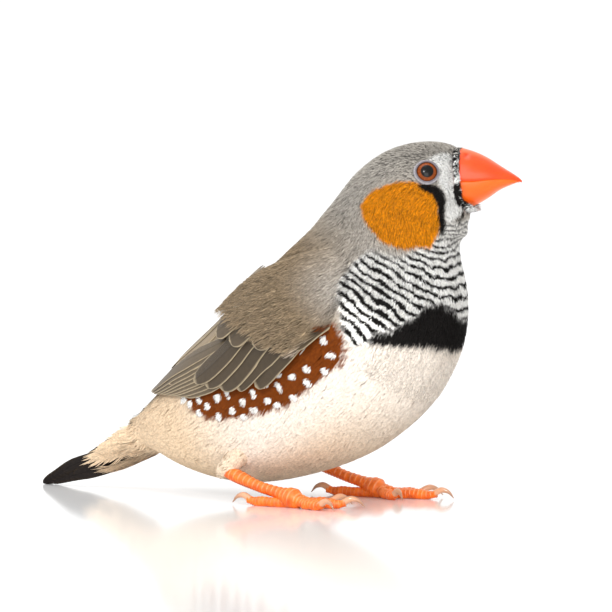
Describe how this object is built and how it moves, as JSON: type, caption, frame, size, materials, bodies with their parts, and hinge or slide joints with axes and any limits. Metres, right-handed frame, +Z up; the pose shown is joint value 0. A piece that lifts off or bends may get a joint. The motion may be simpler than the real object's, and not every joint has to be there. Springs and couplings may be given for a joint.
{
  "type": "zebra finch",
  "caption": "Still, life-size model of a male zebra finch standing on a floor, head turned in profile, tail tip touching the floor.",
  "frame": {"origin": "on the floor, in the middle of the bird's plan", "axes": "+X towards the breast, along the body and tail, +Y towards the bird's left side, +Z up"},
  "size_m": [0.088, 0.0368, 0.0572],
  "materials": {
    "plumage_head": "grey feathers with an orange cheek, a white lore and a black tear line",
    "plumage_body": "white belly, black breast band, finely barred throat, grey-brown back, spotted chestnut flank",
    "plumage_wing": "grey-brown flight feathers with pale edges",
    "plumage_tail": "black tail feathers, barred upper coverts, cream under coverts",
    "bill": "smooth red-orange horn",
    "eye": "wet, dark pupil in a red-brown iris",
    "leg": "orange scaled skin",
    "claw": "pale horn"
  },
  "bodies": {
    "root": {"head": "plumage_head", "neck": "plumage_body", "torso": "plumage_body", "tail": "plumage_tail", "wing_left": "plumage_wing", "wing_right": "plumage_wing", "thigh_left": "plumage_body", "thigh_right": "plumage_body", "eye_left": "eye", "eye_right": "eye", "bill_upper": "bill", "bill_lower": "bill", "shank_left": "leg", "shank_right": "leg", "toe_left_1": "leg", "toe_left_2": "leg", "toe_left_3": "leg", "toe_left_4": "leg", "toe_right_1": "leg", "toe_right_2": "leg", "toe_right_3": "leg", "toe_right_4": "leg", "claw_left_1": "claw", "claw_left_2": "claw", "claw_left_3": "claw", "claw_left_4": "claw", "claw_right_1": "claw", "claw_right_2": "claw", "claw_right_3": "claw", "claw_right_4": "claw"}
  },
  "joints": []
}
